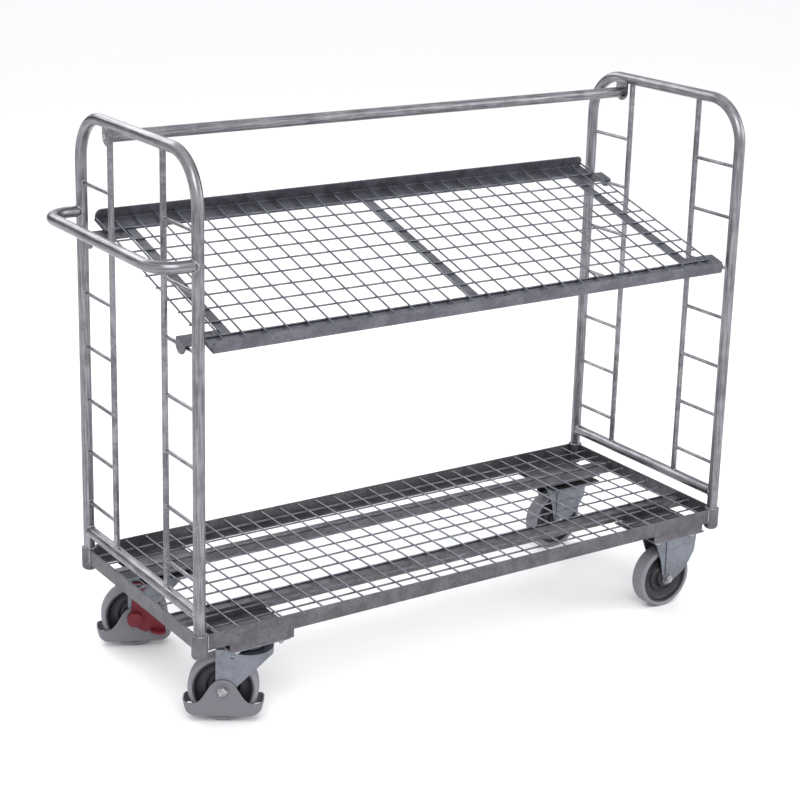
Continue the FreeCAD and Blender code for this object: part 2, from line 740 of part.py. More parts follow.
def foot_guard(side):
    """A shell round the wheel's lower half, open above and below."""
    l, w = guard_half_l, guard_outer
    shell = box(-l, l, -w, w, guard_low, guard_hump_z)
    uprights = [edge for edge in shell.Edges if abs(edge.BoundBox.ZLength) > w]
    shell = shell.makeFillet(guard_corner_r, uprights)
    inner = box(-l + guard_t, l - guard_t, -w + guard_t, w - guard_t, guard_low, guard_hump_z)
    inner_uprights = [edge for edge in inner.Edges if abs(edge.BoundBox.ZLength) > w]
    inner = inner.makeFillet(guard_corner_r - guard_t, inner_uprights)
    shell = shell.cut(inner)
    shell = shell.cut(plate_xz(guard_outline(guard_hump_z + 1), -w - 1, w + 1))
    return swivelled(shell.cut(axle_hole(w)), side)


def swivel_axle(side):
    """The bolt and its nut; the pedal sits between the guard and one of them."""
    bare, with_pedal = guard_outer, guard_outer + pedal_t + 2 * pedal_gap
    pair = group([axle_bolt(with_pedal, bare), axle_nut(bare)])
    return swivelled(pair if pedal_side[side] < 0 else moved(pair, Vec(), 180), side)


# ---- brakes ----
def polar(radius, angle):
    """A point round the axle, its angle measured up from straight ahead."""
    a = math.radians(angle)
    return Vec(radius * math.cos(a), 0, wheel_r + radius * math.sin(a))


def brake_shoe(side):
    """A curved pad over the tyre, on a pin that reaches out past the guard."""
    half_w = shoe_w / 2
    near, far = wheel_r + shoe_gap, wheel_r + shoe_gap + shoe_t
    pad = ring(far, near, Vec(0, -half_w, wheel_r), Vec(0, half_w, wheel_r))
    wedge = [(0, wheel_r)] + [(p.x, p.z) for p in (polar(2 * far, shoe_at + shoe_half_angle),
                                                   polar(2 * far, shoe_at - shoe_half_angle))]
    pad = pad.common(plate_xz(wedge, -half_w, half_w))
    centre = polar(shoe_pin_r, shoe_at)
    pin_end = pedal_face() + pedal_t
    pin = rod(shoe_pin_d / 2, centre - Y * pin_end, centre + Y * fork_outer)
    shoe = pad.fuse(pin).removeSplitter()
    return swivelled(shoe if pedal_side[side] < 0 else shoe.mirror(Vec(), Y), side)


def pedal_face():
    """Wheel mid-plane to the pedal plate's inner face."""
    return guard_outer + pedal_gap


def brake_pedal(side):
    """A lever on the axle: a capped hub, a blade with a tread, and an arm over the shoe's pin."""
    y1 = -pedal_face()
    y0 = y1 - pedal_t
    low = wheel_r
    pocket_end = y0 - axle_head_h - pedal_cap_gap
    hub = rod(pedal_hub_r, Vec(0, pocket_end - pedal_cap_t, low), Vec(0, y1, low))
    pocket = rod(axle_head_af / math.sqrt(3) + pedal_cap_gap, Vec(0, pocket_end, low), Vec(0, y0, low))
    blade = [(-12, low + 12), (2, low + 21), (24, low + 26), (48, low + 14), (70, low - 14),
             (68, low - 30), (56, low - 33), (40, low - 26), (25, low - 34), (12, low - 28),
             (-4, low - 16)]
    tread = [(34, low - 30), (56, low - 36), (68, low - 33), (68, low - 28), (56, low - 31),
             (36, low - 25)]
    lever = hub.fuse(plate_xz(blade, y0, y1)).fuse(plate_xz(tread, y0 - pedal_stand_out, y1))
    lever = lever.fuse(cam_arm(y0, y1)).removeSplitter()
    lever = lever.cut(cam_slot(shoe_pin_d / 2 + shoe_pin_play, y0, y1))
    lever = lever.cut(pocket).cut(rod(axle_r + axle_play, Vec(0, y0, low), Vec(0, y1, low)))
    return swivelled(lever if pedal_side[side] < 0 else lever.mirror(Vec(), Y), side)


def cam_arm(y0, y1):
    """The pedal's upper arm, which widens to take the slot."""
    head = cam_slot(shoe_pin_d / 2 + shoe_pin_play + cam_wall, y0, y1)
    left, right = polar(shoe_pin_r, shoe_at + pedal_swing), polar(shoe_pin_r, shoe_at)
    neck = plate_xz([(-pedal_hub_r * 0.6, wheel_r), (left.x, left.z), (right.x, right.z),
                     (pedal_hub_r, wheel_r)], y0, y1)
    return head.fuse(neck)


def cam_slot(half_width, y0, y1):
    """An arc that nears the axle, so the shoe's pin is drawn in as the pedal goes down."""
    start, middle, end = (polar(shoe_pin_r - share * shoe_travel, shoe_at + share * pedal_swing)
                          for share in (0, 0.5, 1))
    return slot_along(start, middle, end, half_width, y0, y1)


# ---- wheels ----
def ring_about_axle(outer, inner, half):
    return ring(outer, inner, Vec(0, -half, wheel_r), Vec(0, half, wheel_r))


def wheel_core():
    """A moulded wheel centre: rim, web, stiffening ring and hub."""
    rim_r = wheel_r - tyre_t
    rim = ring_about_axle(rim_r, rim_r - rim_t, tyre_w / 2 - 2)
    web = ring_about_axle(rim_r - rim_t / 2, hub_r - 1, web_t / 2)
    hub = ring_about_axle(hub_r, bearing_r, hub_half)
    stiffener = ring_about_axle(ring_r, ring_r - ring_w, ring_half)
    core = rim.fuse([web, hub, stiffener])
    return core.removeSplitter()


def tyre():
    body = rod(wheel_r, Vec(0, -tyre_w / 2, wheel_r), Vec(0, tyre_w / 2, wheel_r))
    rims = [edge for edge in body.Edges if edge.Closed and edge.Length > 6 * wheel_r]
    body = body.makeFillet(tyre_edge_r, rims)
    seat = rod(wheel_r - tyre_t, Vec(0, -tyre_w, wheel_r), Vec(0, tyre_w, wheel_r))
    return body.cut(seat)


def bearings():
    """Two bushes pressed into the hub, standing a little proud."""
    outer_face = hub_half + bearing_proud
    made = []
    for side in (-1, 1):
        inner = Vec(0, side * (outer_face - bearing_l), wheel_r)
        made.append(ring(bearing_r, axle_r + axle_play, inner, Vec(0, side * outer_face, wheel_r)))
    return group(made)


def placed_wheel_part(shape, corner):
    side, end = corner.split("_")
    if end == "left":
        return swivelled(shape, side)
    return moved(shape, Vec(fixed_x, swivel_y[side], 0))


# ---- every node ----
def all_nodes():
    nodes = {
        "base_rail_front": long_rail("front"),
        "base_rail_rear": long_rail("rear"),
        "base_rail_left": end_rail("left"),
        "base_rail_right": end_rail("right"),
        "corner_sockets": corner_sockets(),
        "socket_end_caps": socket_end_caps(),
        "platform_long_wires": platform_long_wires(),
        "platform_cross_wires": platform_cross_wires(),
        "support_channel_front": support_channel("front"),
        "support_channel_rear": support_channel("rear"),
        "caster_mount_pads": caster_mount_pads(),
        "push_handle": push_handle(),
        "tie_bar": tie_bar(),
        "tie_bar_brackets": tie_bar_brackets(),
        "tie_bar_bolts": tie_bar_bolts(),
        "shelf_front_rail": shelf_rail("front"),
        "shelf_rear_rail": shelf_rail("rear"),
        "shelf_straps": shelf_straps(),
        "shelf_long_wires": shelf_long_wires(),
        "shelf_cross_wires": shelf_cross_wires(),
        "shelf_hooks": shelf_hooks(),
        "caster_bolts": caster_bolts(),
        "caster_nuts": caster_nuts(),
        "swivel_top_plates": swivel_top_plates(),
        "kingpins": kingpins(),
        "fixed_forks": fixed_forks(),
        "fixed_axles": fixed_axles(),
        "fixed_axle_nuts": fixed_axle_nuts(),
    }
    for side in ("left", "right"):
        nodes["hoop_" + side] = hoop(side)
        nodes["lower_tube_" + side] = lower_tube(side)
        nodes["inner_posts_" + side] = inner_posts(side)
        nodes["rungs_" + side] = rungs(side)
    for side in ("front", "rear"):
        nodes[side + "_swivel_fork"] = swivel_fork(side)
        nodes[side + "_swivel_balls"] = swivel_balls(side)
        nodes[side + "_swivel_axle"] = swivel_axle(side)
        nodes[side + "_foot_guard"] = foot_guard(side)
        nodes[side + "_brake_pedal"] = brake_pedal(side)
        nodes[side + "_brake_shoe"] = brake_shoe(side)
    wheel_parts = {"wheel_core": wheel_core(), "tyre": tyre(), "bearings": bearings()}
    for corner in ("front_left", "rear_left", "front_right", "rear_right"):
        for name, shape in wheel_parts.items():
            nodes[corner + "_" + name] = placed_wheel_part(shape, corner)
    return nodes


nodes = all_nodes()
# the origin is the middle of the whole trolley's footprint as it stands, at floor level
footprint = Part.makeCompound(list(nodes.values())).optimalBoundingBox(False, False)
origin = Vec(footprint.Center.x, footprint.Center.y, 0)

os.makedirs("parts", exist_ok=True)
for name, shape in nodes.items():
    centred = moved(shape, -origin)
    centred.exportStep("parts/" + name + ".step")
    print(name, len(centred.Solids), "valid" if centred.isValid() else "INVALID",
          round(centred.Volume / 1000, 1), "cm3")
print("origin", origin.x, origin.y)
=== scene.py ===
# Looks of a long wire-deck trolley with a sloping shelf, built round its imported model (Blender 4.5)
import json
import math
import bmesh
import bpy
import numpy as np
from mathutils import Matrix, Vector


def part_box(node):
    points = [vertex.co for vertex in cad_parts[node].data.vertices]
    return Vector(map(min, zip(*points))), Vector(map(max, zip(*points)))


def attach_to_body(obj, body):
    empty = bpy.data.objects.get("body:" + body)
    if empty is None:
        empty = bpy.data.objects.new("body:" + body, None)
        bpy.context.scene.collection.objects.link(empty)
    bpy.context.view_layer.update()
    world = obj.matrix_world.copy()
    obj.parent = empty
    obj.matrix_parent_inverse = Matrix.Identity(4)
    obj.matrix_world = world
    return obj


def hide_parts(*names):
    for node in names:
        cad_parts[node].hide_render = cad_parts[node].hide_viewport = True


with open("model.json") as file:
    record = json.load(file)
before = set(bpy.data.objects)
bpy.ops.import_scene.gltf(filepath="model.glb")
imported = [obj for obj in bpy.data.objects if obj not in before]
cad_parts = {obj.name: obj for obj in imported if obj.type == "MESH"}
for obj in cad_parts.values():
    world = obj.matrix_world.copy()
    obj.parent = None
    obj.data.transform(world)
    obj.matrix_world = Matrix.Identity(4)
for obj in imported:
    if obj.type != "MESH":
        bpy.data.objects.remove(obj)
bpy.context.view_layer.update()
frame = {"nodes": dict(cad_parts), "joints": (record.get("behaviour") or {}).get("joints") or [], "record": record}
mm = 0.001
jointOf = {joint["name"]: joint for joint in frame["joints"]}
bodyOf = {node: body for body, nodes in frame["record"]["behaviour"]["bodies"].items() for node in nodes}
slotOf = {part["node"]: part["material_slot"] for part in frame["record"]["subparts"]}
print("frame loaded:", len(frame["nodes"]), "nodes")


# mesh helpers

def gridQuads(rows, columns, wrap=True):
    # corners of each quad on a grid of rows x columns points; wrap joins the last column to the first
    row, column = np.meshgrid(np.arange(rows - 1), np.arange(columns if wrap else columns - 1), indexing="ij")
    after = (column + 1) % columns
    quads = np.stack([row * columns + column, row * columns + after,
                      (row + 1) * columns + after, (row + 1) * columns + column], -1)
    return quads.reshape(-1, 4)


def toMesh(name, points, quads, smooth=True):
    mesh = bpy.data.meshes.new(name)
    mesh.from_pydata(np.asarray(points, float).tolist(), [], np.asarray(quads).tolist())
    mesh.polygons.foreach_set("use_smooth", [smooth] * len(mesh.polygons))
    piece = bpy.data.objects.new(name, mesh)
    bpy.context.scene.collection.objects.link(piece)
    return piece


mergeWithin = dict(drawn=.005 * mm, packed=.002 * mm)  # points nearer than this are one point


def closeUp(piece):
    # merges poles and seams, then turns every face outwards
    work = bmesh.new()
    work.from_mesh(piece.data)
    bmesh.ops.remove_doubles(work, verts=work.verts, dist=mergeWithin["drawn"])
    bmesh.ops.recalc_face_normals(work, faces=work.faces)
    work.to_mesh(piece.data)
    work.free()
    return piece


def gather(name, parts):
    # one closed mesh out of many (points, quads) pairs
    allPoints, allQuads, start = [], [], 0
    for points, quads in parts:
        allPoints.append(np.asarray(points).reshape(-1, 3))
        allQuads.append(np.asarray(quads) + start)
        start += len(allPoints[-1])
    return closeUp(toMesh(name, np.concatenate(allPoints), np.concatenate(allQuads)))


def sharpen(piece, angle=35):
    # smooth shading that breaks at edges steeper than the angle
    piece.data.polygons.foreach_set("use_smooth", [True] * len(piece.data.polygons))
    piece.data.set_sharp_from_angle(angle=math.radians(angle))
    return piece


def wheelSpace(points, centre, axis):
    # local points (forwards, along the axle, up) put into the trolley's space
    across = Vector(axis).normalized()
    ahead = across.cross(Vector((0, 0, 1)))
    local = np.asarray(points, float)
    return (np.array(centre) + local[..., 0:1] * np.array(ahead) + local[..., 1:2] * np.array(across)
            + local[..., 2:3] * np.array((0, 0, 1.0)))


def lathe(profile, around=72):
    # a profile of (distance along the axle, radius) turned about the axle: x = r cos a, z = r sin a
    profile = np.asarray(profile, float)
    angle = np.linspace(0, 2 * np.pi, around, endpoint=False)
    points = np.stack([profile[:, 1:2] * np.cos(angle), np.repeat(profile[:, 0:1], around, 1),
                       profile[:, 1:2] * np.sin(angle)], -1)
    return points, gridQuads(len(profile), around)


def rounded(corners, radius, steps):
    # a closed outline whose corners are eased: (1 - t)^2 start + 2 t (1 - t) corner + t^2 end
    corners = np.asarray(corners, float)
    outline = []
    for last, here, following in zip(np.roll(corners, 1, 0), corners, np.roll(corners, -1, 0)):
        back, on = last - here, following - here
        start = here + back / np.linalg.norm(back) * radius
        end = here + on / np.linalg.norm(on) * radius
        share = np.linspace(0, 1, steps + 1)[:, None]
        outline.append((1 - share) ** 2 * start + 2 * share * (1 - share) * here + share ** 2 * end)
    return np.concatenate(outline)


def settle(piece, node):
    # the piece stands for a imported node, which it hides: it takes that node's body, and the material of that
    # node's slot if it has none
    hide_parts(node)
    if not piece.data.materials:
        piece.data.materials.append(finishOf(node))
    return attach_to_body(piece, bodyOf[node])


def attach(piece, body, material):
    # an extra piece that stands for no node
    piece.data.materials.append(material)
    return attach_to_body(piece, body)


def softened(node, width, segments=2, angle=30):
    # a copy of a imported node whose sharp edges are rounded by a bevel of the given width
    piece = bpy.data.objects.new("soft_" + node, frame["nodes"][node].data.copy())
    bpy.context.scene.collection.objects.link(piece)
    work = bmesh.new()
    work.from_mesh(piece.data)
    bmesh.ops.remove_doubles(work, verts=work.verts, dist=mergeWithin["packed"])
    bmesh.ops.dissolve_limit(work, angle_limit=math.radians(0.5), verts=work.verts, edges=work.edges)
    work.to_mesh(piece.data)
    work.free()
    sharpen(piece, angle)
    bevel = piece.modifiers.new("edges", "BEVEL")
    bevel.width = width
    bevel.segments = segments
    bevel.limit_method = "ANGLE"
    bevel.angle_limit = math.radians(angle)
    bevel.harden_normals = True
    return settle(piece, node)


# shader helpers

class Val:
    # wraps a socket, so that shader maths reads as plain sums
    def __init__(self, graph, socket):
        self.graph = graph
        self.socket = socket

    def maths(self, operation, first, second):
        return self.graph.add("ShaderNodeMath", {"operation": operation}, {0: first, 1: second})

    def __add__(self, other):
        return self.maths("ADD", self, other)

    def __sub__(self, other):
        return self.maths("SUBTRACT", self, other)

    def __rsub__(self, other):
        return self.maths("SUBTRACT", other, self)

    def __mul__(self, other):
        return self.maths("MULTIPLY", self, other)

    def __pow__(self, other):
        return self.maths("POWER", self, other)

    __radd__ = __add__
    __rmul__ = __mul__


class Finish:
    # one material, or the world: nodes are added through add(), and varying inputs are fed through set()
    def __init__(self, name, owner=None):
        self.material = owner or bpy.data.materials.new(name)
        self.material.use_nodes = True
        self.tree = self.material.node_tree
        self.shader = self.tree.nodes["Background" if owner else "Principled BSDF"]

    def feed(self, socket, value):
        if isinstance(value, Val):
            self.tree.links.new(value.socket, socket)
        else:
            socket.default_value = value

    def add(self, kind, settings=None, inputs=None, out=0):
        node = self.tree.nodes.new(kind)
        for key, value in (settings or {}).items():
            setattr(node, key, value)
        for key, value in (inputs or {}).items():
            self.feed(node.inputs[key], value)
        return Val(self, node.outputs[out])

    def set(self, **values):
        for key, value in values.items():
            self.feed(self.shader.inputs[key.replace("_", " ")], value)

    def place(self, scale=(1, 1, 1)):
        # object coordinates in metres, scaled
        coordinates = self.add("ShaderNodeTexCoord", out="Object")
        return self.add("ShaderNodeMapping", {}, {"Vector": coordinates, "Scale": scale})

    def noise(self, where, scale, detail=4, rough=0.55):
        return self.add("ShaderNodeTexNoise", {}, {"Vector": where, "Scale": scale, "Detail": detail,
                                                  "Roughness": rough}, "Fac")

    def between(self, value, low, high):
        # 0 below low, 1 above high, smooth between
        return self.add("ShaderNodeMapRange", {"interpolation_type": "SMOOTHSTEP"},
                        {"Value": value, "From Min": low, "From Max": high})

    def blend(self, mask, first, second):
        return self.add("ShaderNodeMix", {"data_type": "RGBA"}, {0: mask, 6: first, 7: second}, 2)

    def bump(self, height, strength, distance):
        return self.add("ShaderNodeBump", {}, {"Height": height, "Strength": strength, "Distance": distance})


def rgb(red, green, blue):
    return (red, green, blue, 1)


print("helpers ready")


# metal finishes

bumpHeight = .4 * mm
metalLooks = {
    "zinc_base": dict(base=rgb(.148, .144, .157), dark=rgb(.090, .086, .096), light=rgb(.36, .355, .37),
                      metal=.78, rough=(.34, .54), cloud=26, fleck=900, flecks=.45, bumps=.22),
    "zinc_tube": dict(base=rgb(.285, .280, .300), dark=rgb(.135, .130, .145), light=rgb(.46, .45, .47),
                      metal=.94, rough=(.20, .36), cloud=16, fleck=700, flecks=.22, bumps=.10),
    "zinc_wire": dict(base=rgb(.200, .210, .240), dark=rgb(.110, .115, .135), light=rgb(.40, .41, .45),
                      metal=.9, rough=(.26, .42), cloud=40, fleck=900, flecks=.3, bumps=.10),
    "zinc_shelf": dict(base=rgb(.156, .156, .180), dark=rgb(.092, .092, .110), light=rgb(.34, .345, .385),
                       metal=.8, rough=(.30, .48), cloud=20, fleck=900, flecks=.3, bumps=.15),
    "zinc_fork": dict(base=rgb(.200, .215, .245), dark=rgb(.145, .155, .180), light=rgb(.33, .345, .38),
                      metal=.88, rough=(.26, .40), cloud=14, fleck=1100, flecks=.12, bumps=.06),
    "bolt_zinc": dict(base=rgb(.46, .46, .48), dark=rgb(.26, .26, .28), light=rgb(.66, .66, .68),
                      metal=.95, rough=(.20, .34), cloud=120, fleck=1500, flecks=.2, bumps=.08),
    "hard_steel": dict(base=rgb(.26, .26, .27), dark=rgb(.14, .14, .15), light=rgb(.42, .42, .43),
                       metal=.95, rough=(.22, .36), cloud=90, fleck=1500, flecks=.2, bumps=.08),
}


def metalFinish(name, look):
    # cloudy zinc: large soft patches, small crystals with their own tone, bright flecks, dull smudges
    finish = Finish(name)
    where = finish.place()
    clouds = finish.noise(where, look["cloud"], 5, .6)
    crystals = finish.add("ShaderNodeTexVoronoi", {"feature": "F1"},
                          {"Vector": where, "Scale": look["cloud"] * 9}, "Color")
    crystalTone = finish.add("ShaderNodeSeparateColor", {}, {"Color": crystals}, 0)
    flecks = finish.between(finish.noise(where, look["fleck"], 2, .5), .62, .78)
    smudge = finish.between(finish.noise(where, look["cloud"] * .45, 3, .5), .45, .75)
    tone = finish.between(clouds + crystalTone * .16, .40, .78)
    colour = finish.blend(tone, look["dark"], look["base"])
    colour = finish.blend(flecks * look["flecks"], colour, look["light"])
    colour = finish.blend(smudge * .30, colour, look["dark"])
    low, high = look["rough"]
    roughness = clouds * (high - low) + smudge * .10 + low
    height = finish.noise(where, look["fleck"] * .35, 3, .6) * .5 + crystalTone * .5
    finish.set(Base_Color=colour, Metallic=look["metal"], Roughness=roughness,
               Normal=finish.bump(height, look["bumps"], bumpHeight))
    return finish.material


metals = {name: metalFinish(name, look) for name, look in metalLooks.items()}

tubeGrain = dict(stretch=.035, streaks=300, blotches=20, tone=(.40, .60))


def tubeFinish(name, look):
    # drawn tube: long thin streaks that run with the tube, over the zinc's soft clouds
    finish = Finish(name)
    uv = finish.add("ShaderNodeUVMap", {"uv_map": "alongTube"})
    streaked = finish.add("ShaderNodeMapping", {}, {"Vector": uv, "Scale": (1, tubeGrain["stretch"], 1)})
    streaks = finish.noise(streaked, tubeGrain["streaks"], 4, .65)
    blotches = finish.noise(finish.place(), tubeGrain["blotches"], 5, .6)
    flecks = finish.between(finish.noise(finish.place(), look["fleck"], 2, .5), .62, .78)
    tone = finish.between(streaks * .65 + blotches * .35, *tubeGrain["tone"])
    colour = finish.blend(tone, look["dark"], look["base"])
    colour = finish.blend(flecks * look["flecks"], colour, look["light"])
    low, high = look["rough"]
    roughness = streaks * (high - low) + blotches * .10 + low
    finish.set(Base_Color=colour, Metallic=look["metal"], Roughness=roughness,
               Normal=finish.bump(streaks * .6 + blotches * .4, look["bumps"], bumpHeight))
    return finish.material


weldMetalLook = dict(dark=rgb(.20, .20, .215), base=rgb(.46, .455, .475), burnt=rgb(.11, .10, .10), metal=.85,
                     lumps=260, patches=90, bumps=.5, lumpHeight=.6 * mm)


def weldFinish(name, look):
    # bright sprayed zinc over weld metal, lumpy and a little burnt
    finish = Finish(name)
    where = finish.place()
    lumps = finish.noise(where, look["lumps"], 4, .6)
    burnt = finish.between(finish.noise(where, look["patches"], 3, .5), .52, .70)
    colour = finish.blend(lumps, look["dark"], look["base"])
    colour = finish.blend(burnt * .45, colour, look["burnt"])
    finish.set(Base_Color=colour, Metallic=look["metal"], Roughness=lumps * .2 + .26,
               Normal=finish.bump(lumps, look["bumps"], look["lumpHeight"]))
    return finish.material


print("metal finishes made")


# plastics and rubber

plasticLooks = {
    "guard_grey": dict(base=rgb(.128, .128, .146), worn=rgb(.19, .19, .21), rough=(.44, .60), grain=1600),
    "pedal_red": dict(base=rgb(.120, .001, .009), worn=rgb(.160, .004, .016), rough=(.52, .66), grain=1400),
    "wheel_black": dict(base=rgb(.0105, .0105, .0145), worn=rgb(.028, .028, .036), rough=(.38, .54),
                        grain=1300),
}
scuffFade = (.015, .075)  # scuffs are full below the first height above the floor and few above the second


def plasticFinish(name, look):
    # moulded plastic: a fine spark grain, soft tone changes, pale scuffs low down
    finish = Finish(name)
    where = finish.place()
    patches = finish.noise(where, 35, 4, .6)
    scuffs = finish.between(finish.noise(finish.place((1, 1, 5)), 60, 6, .7), .60, .74)
    height = finish.add("ShaderNodeSeparateXYZ", {}, {"Vector": where}, 2)
    nearFloor = 1 - finish.between(height, *scuffFade)
    wear = scuffs * (nearFloor * .7 + .2)
    colour = finish.blend(wear * .7 + patches * .22, look["base"], look["worn"])
    grain = finish.noise(where, look["grain"], 2, .5)
    low, high = look["rough"]
    finish.set(Base_Color=colour, Roughness=patches * (high - low) + wear * .15 + low,
               Normal=finish.bump(grain * .7 + scuffs * .3, .22, .3 * mm))
    return finish.material


plastics = {name: plasticFinish(name, look) for name, look in plasticLooks.items()}

tyreLook = dict(side=rgb(.178, .170, .196), tread=rgb(.150, .143, .163), dust=rgb(.26, .25, .265),
                running=(72.5 * mm, 74.8 * mm))


def tyreFinish(name, centre, axis):
    # elastic rubber: paler walls and a darker, dusty running face, told apart by distance from the axle
    finish = Finish(name)
    coordinates = finish.add("ShaderNodeTexCoord", out="Object")
    arm = finish.add("ShaderNodeVectorMath", {"operation": "SUBTRACT"}, {0: coordinates, 1: tuple(centre)})
    along = finish.add("ShaderNodeVectorMath", {"operation": "DOT_PRODUCT"}, {0: arm, 1: tuple(axis)}, 1)
    length = finish.add("ShaderNodeVectorMath", {"operation": "LENGTH"}, {0: arm}, 1)
    radius = (length ** 2 - along ** 2) ** .5
    running = finish.between(radius, *tyreLook["running"])
    patches = finish.noise(coordinates, 45, 5, .6)
    dust = finish.between(finish.noise(coordinates, 160, 5, .7), .48, .72)
    colour = finish.blend(running, tyreLook["side"], tyreLook["tread"])
    colour = finish.blend(dust * (running * .35 + .12) + patches * .10, colour, tyreLook["dust"])
    grain = finish.noise(coordinates, 900, 3, .6)
    finish.set(Base_Color=colour, Roughness=patches * .16 + .50,
               Normal=finish.bump(grain * .6 + dust * .4, .25, bumpHeight))
    return finish.material


print("plastics and rubber made")


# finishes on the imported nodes

tyreFinishes = {}
for node, slot in slotOf.items():
    if slot == "tyre_grey":
        joint = jointOf[node.replace("_tyre", "_wheel_spin")]
        tyreFinishes[node] = tyreFinish(node + "_rubber", joint["pos_m"], joint["axis"])


def finishOf(node):
    return tyreFinishes.get(node) or metals.get(slotOf[node]) or plastics[slotOf[node]]


for node, packed in frame["nodes"].items():
    packed.data.materials.clear()
    packed.data.materials.append(finishOf(node))
print("finishes assigned")


# round tubes and bars

tubeLook = dict(bend=100 * mm, handleBend=55 * mm, around=40, arcSteps=18, bite=.8)
tubeMetal = tubeFinish("zinc_tube_drawn", metalLooks["zinc_tube"])


def bentPath(corners, bend, arcSteps):
    # straight runs joined by quarter arcs: point = centre + bend * (cos, sin), tangent to both runs
    corners = [np.array(corner, float) for corner in corners]
    path = [corners[0]]
    for before, here, following in zip(corners, corners[1:], corners[2:]):
        back = (before - here) / np.linalg.norm(before - here)
        on = (following - here) / np.linalg.norm(following - here)
        centre = here + (back + on) * bend
        turn = np.linspace(0, np.pi / 2, arcSteps)[:, None]
        path.extend(centre - on * bend * np.cos(turn) - back * bend * np.sin(turn))
    path.append(corners[-1])
    return np.array(path)


def sweepTube(name, path, radius, around):
    # a circle carried along a path: point = path + radius * (side cos a + up sin a); a UV map runs along it
    path = np.asarray(path, float)
    tangent = np.gradient(path, axis=0)
    tangent /= np.linalg.norm(tangent, axis=1, keepdims=True)
    flat = np.cross(path[0] - path[-1], path[len(path) // 2] - path[0])
    if np.linalg.norm(flat) < 1e-9:  # a straight tube: any way that isn't along it will do
        flat = np.cross(tangent[0], (0.3, 0.5, 0.8))
    side = flat / np.linalg.norm(flat)
    up = np.cross(tangent, side)
    angle = np.linspace(0, 2 * np.pi, around + 1)
    points = (path[:, None] + radius * (side * np.cos(angle)[None, :, None]
                                        + up[:, None] * np.sin(angle)[None, :, None]))
    piece = toMesh(name, points.reshape(-1, 3), gridQuads(len(path), around + 1, False))
    length = np.concatenate([[0], np.cumsum(np.linalg.norm(np.diff(path, axis=0), axis=1))])
    uv = np.stack(np.meshgrid(angle * radius, length), -1).reshape(-1, 2)
    loopPoints = np.zeros(len(piece.data.loops), int)
    piece.data.loops.foreach_get("vertex_index", loopPoints)
    piece.data.uv_layers.new(name="alongTube").data.foreach_set("uv", uv[loopPoints].ravel())
    return closeUp(piece)


def drawnTube(node, path, radius):
    # one smooth skin in place of a packed tube; its open ends stand against or inside their neighbours
    piece = sweepTube("drawn_" + node, path, radius, tubeLook["around"])
    piece.data.materials.append(tubeMetal)
    return settle(piece, node)


hoopBox = {side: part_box("hoop_" + side) for side in ("left", "right")}
for side, (low, high) in hoopBox.items():
    radius = (high.x - low.x) / 2
    x, front, back, top = (low.x + high.x) / 2, low.y + radius, high.y - radius, high.z - radius
    path = bentPath([(x, front, low.z), (x, front, top), (x, back, top), (x, back, low.z)],
                    tubeLook["bend"], tubeLook["arcSteps"])
    drawnTube("hoop_" + side, path, radius)

tubeRadius = (hoopBox["left"][1].x - hoopBox["left"][0].x) / 2
uprightX = {side: (low.x + high.x) / 2 for side, (low, high) in hoopBox.items()}
uprightY = (hoopBox["left"][0].y + tubeRadius, hoopBox["left"][1].y - tubeRadius)
hoopTopZ = hoopBox["left"][1].z - tubeRadius

low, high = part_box("push_handle")
handleX, handleZ = low.x + tubeRadius, (low.z + high.z) / 2
bite = tubeRadius * tubeLook["bite"]  # a joining tube's end stops this far from the other's axis, in its skin
surfaceX = uprightX["left"] - bite
handleCorners = [(surfaceX, uprightY[0], handleZ), (handleX, uprightY[0], handleZ),
                 (handleX, uprightY[1], handleZ), (surfaceX, uprightY[1], handleZ)]
drawnTube("push_handle", bentPath(handleCorners, tubeLook["handleBend"], tubeLook["arcSteps"]), tubeRadius)
low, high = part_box("tie_bar")
tieY, tieZ = (low.y + high.y) / 2, (low.z + high.z) / 2
drawnTube("tie_bar", np.linspace((low.x, tieY, tieZ), (high.x, tieY, tieZ), 12), tubeRadius)
low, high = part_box("lower_tube_left")
lowerZ = (low.z + high.z) / 2
for side, x in uprightX.items():
    path = np.linspace((x, uprightY[0] + bite, lowerZ), (x, uprightY[1] - bite, lowerZ), 8)
    drawnTube("lower_tube_" + side, path, tubeRadius)
print("tubes drawn")


# wheels

wheelLook = dict(around=96, crease=48)


def bothSides(half):
    # a half profile (distance from the middle plane, radius) continued on the other side, closed
    half = np.asarray(half, float) * mm
    return np.concatenate([half, half[::-1] * (-1, 1), half[:1]])


tyreProfile = bothSides([
    (0, 75), (8, 74.95), (13, 74.6), (16.2, 73.6), (18.4, 71.9), (19.6, 69.9), (20, 68.2),  # running face
    (19.5, 67.8), (19.5, 67.2), (19.9, 66.8), (19.6, 65.2), (18.6, 64.2), (0, 64.2)])  # wall, seat
coreProfile = bothSides([
    (0, 64.3), (17.2, 64.3), (18.2, 63.6), (18.4, 62.4), (18.2, 60.6), (17.2, 59.8), (15.2, 59.4),  # rim
    (12.4, 58.6), (9.6, 56.4), (7.6, 52.5), (6.4, 46), (6.2, 40.6), (6.9, 39.4),  # dish
    (11.2, 38.8), (12, 38), (12, 36.2), (11.2, 35.4), (7.2, 34.9), (6.2, 33.6), (6.4, 30),  # raised ring
    (8.2, 26.8), (12.5, 24.2), (18.5, 22.9), (21.2, 22.2), (22, 21.2), (22, 12.2), (0, 12.2)])  # hub, bore
wheels = {joint["child"]: joint for joint in frame["joints"] if joint["name"].endswith("_wheel_spin")}
for wheel, joint in wheels.items():
    for name, profile in (("tyre", tyreProfile), ("wheel_core", coreProfile)):
        node = wheel.replace("_wheel", "_" + name)
        points, quads = lathe(profile, wheelLook["around"])
        turned = gather("turned_" + node, [(wheelSpace(points, joint["pos_m"], joint["axis"]), quads)])
        settle(sharpen(turned, wheelLook["crease"]), node)
print("wheels turned")


# turned parts, sizes in mm

